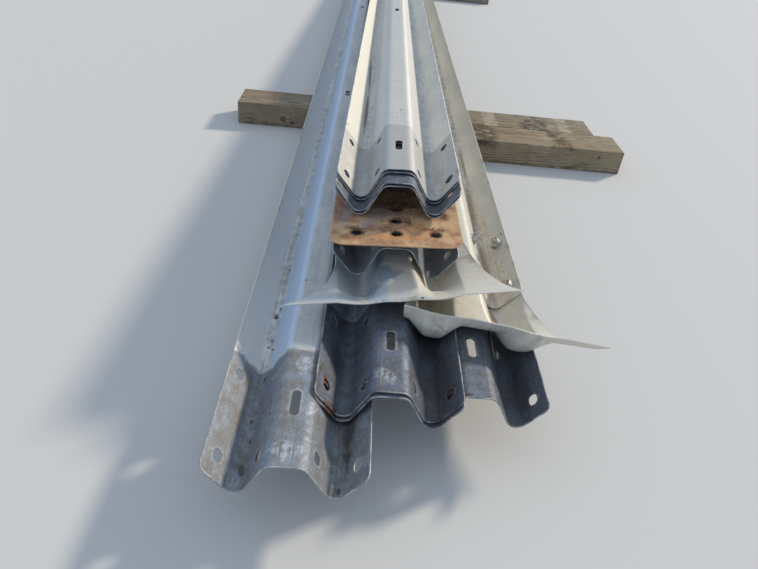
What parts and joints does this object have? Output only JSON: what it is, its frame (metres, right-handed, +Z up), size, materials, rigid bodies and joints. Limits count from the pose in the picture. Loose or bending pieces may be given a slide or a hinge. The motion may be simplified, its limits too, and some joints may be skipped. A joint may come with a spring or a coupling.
{
  "type": "stack of highway guardrail sections",
  "caption": "Yard stack of nine galvanised W-beam guardrail sections with two flared ends and a rusty end shoe, resting on three timber bearers",
  "frame": {"origin": "centre of the whole stack's box, on the floor the bearers rest on", "axes": "+Y along the rails, away from the flared ends; +X to the right seen from the flared ends; +Z up"},
  "size_m": [1.764, 8.6432, 0.4583],
  "materials": {
    "galvanised_steel": "weathered hot-dip zinc, matt grey with pale bloom, stains and rust specks",
    "rusted_steel": "orange-brown rust over worn zinc, matt",
    "bearer_timber": "rough-sawn treated softwood, grey-green, with knots and checks"
  },
  "bodies": {
    "root": {"near_back_timber": "bearer_timber", "near_front_timber": "bearer_timber", "far_timber": "bearer_timber", "bottom_left_rail": "galvanised_steel", "bottom_right_rail": "galvanised_steel", "bottom_middle_rail_lower": "galvanised_steel", "bottom_middle_rail_upper": "galvanised_steel", "right_side_rail": "galvanised_steel", "flared_end_right": "galvanised_steel", "flared_end_upper": "galvanised_steel", "inner_rail": "galvanised_steel", "end_shoe": "rusted_steel", "top_rail_4": "galvanised_steel", "top_rail_3": "galvanised_steel", "top_rail_2": "galvanised_steel", "top_rail_1": "galvanised_steel"}
  },
  "joints": []
}
